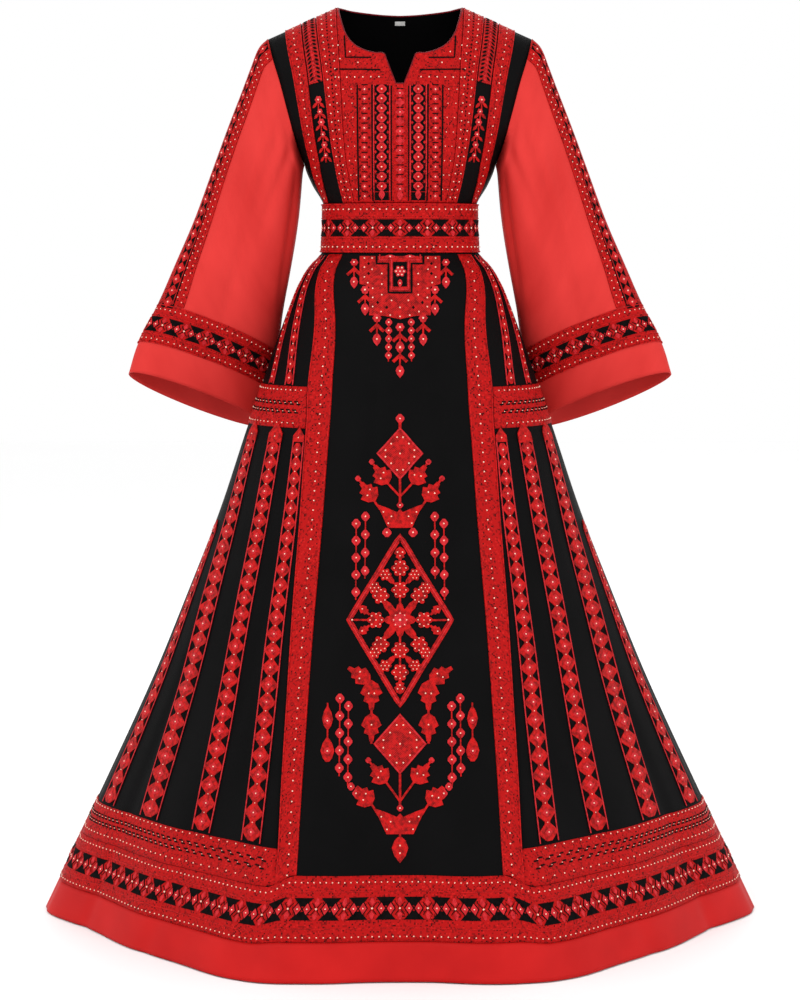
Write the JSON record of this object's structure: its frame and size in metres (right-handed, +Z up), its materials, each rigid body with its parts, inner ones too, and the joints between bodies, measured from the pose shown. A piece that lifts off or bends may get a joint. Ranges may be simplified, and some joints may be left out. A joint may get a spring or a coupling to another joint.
{
  "type": "long embroidered dress",
  "caption": "Floor-length dress with flared skirt, wide sleeves, round notched neck and embroidered bands, standing as if worn",
  "frame": {"origin": "midway between the two shoulder seams, at the height where the dress rests on the shoulders", "axes": "+Z up along the dress, -Y out of the front, +X towards the wearer's left"},
  "size_m": [1.082, 0.791, 1.3528],
  "materials": {
    "red_satin": "soft satin sheen",
    "black_cloth": "matte plain weave",
    "embroidered_red": "dense cross-stitch",
    "dark_red_binding": "folded binding",
    "plain_label": "plain woven tab"
  },
  "bodies": {
    "root": {"bodice_front": "black_cloth", "bodice_back": "black_cloth", "sleeve_left": "red_satin", "sleeve_right": "red_satin", "cuff_band_left": "embroidered_red", "cuff_band_right": "embroidered_red", "sleeve_strip_left": "embroidered_red", "sleeve_strip_right": "embroidered_red", "yoke_panel": "embroidered_red", "chest_strip_inner_left": "embroidered_red", "chest_strip_inner_right": "embroidered_red", "chest_strip_outer_left": "embroidered_red", "chest_strip_outer_right": "embroidered_red", "neck_binding": "dark_red_binding", "neck_label": "plain_label", "belt": "embroidered_red", "skirt_front": "black_cloth", "skirt_back": "black_cloth", "skirt_side_front_left": "black_cloth", "skirt_side_front_right": "black_cloth", "skirt_side_back_left": "black_cloth", "skirt_side_back_right": "black_cloth", "hem_band": "red_satin", "hem_border": "embroidered_red", "side_border_left": "embroidered_red", "side_border_right": "embroidered_red", "front_band_left": "embroidered_red", "front_band_right": "embroidered_red", "back_band_left": "embroidered_red", "back_band_right": "embroidered_red", "hip_band_left": "embroidered_red", "hip_band_right": "embroidered_red", "stripe_one_front_left": "embroidered_red", "stripe_one_front_right": "embroidered_red", "stripe_one_back_left": "embroidered_red", "stripe_one_back_right": "embroidered_red", "stripe_two_front_left": "embroidered_red", "stripe_two_front_right": "embroidered_red", "stripe_two_back_left": "embroidered_red", "stripe_two_back_right": "embroidered_red", "stripe_three_front_left": "embroidered_red", "stripe_three_front_right": "embroidered_red", "stripe_three_back_left": "embroidered_red", "stripe_three_back_right": "embroidered_red", "stripe_four_front_left": "embroidered_red", "stripe_four_front_right": "embroidered_red", "stripe_four_back_left": "embroidered_red", "stripe_four_back_right": "embroidered_red", "upper_stripe_inner_front_left": "embroidered_red", "upper_stripe_inner_front_right": "embroidered_red", "upper_stripe_inner_back_left": "embroidered_red", "upper_stripe_inner_back_right": "embroidered_red", "upper_stripe_outer_front_left": "embroidered_red", "upper_stripe_outer_front_right": "embroidered_red", "upper_stripe_outer_back_left": "embroidered_red", "upper_stripe_outer_back_right": "embroidered_red"}
  },
  "joints": []
}
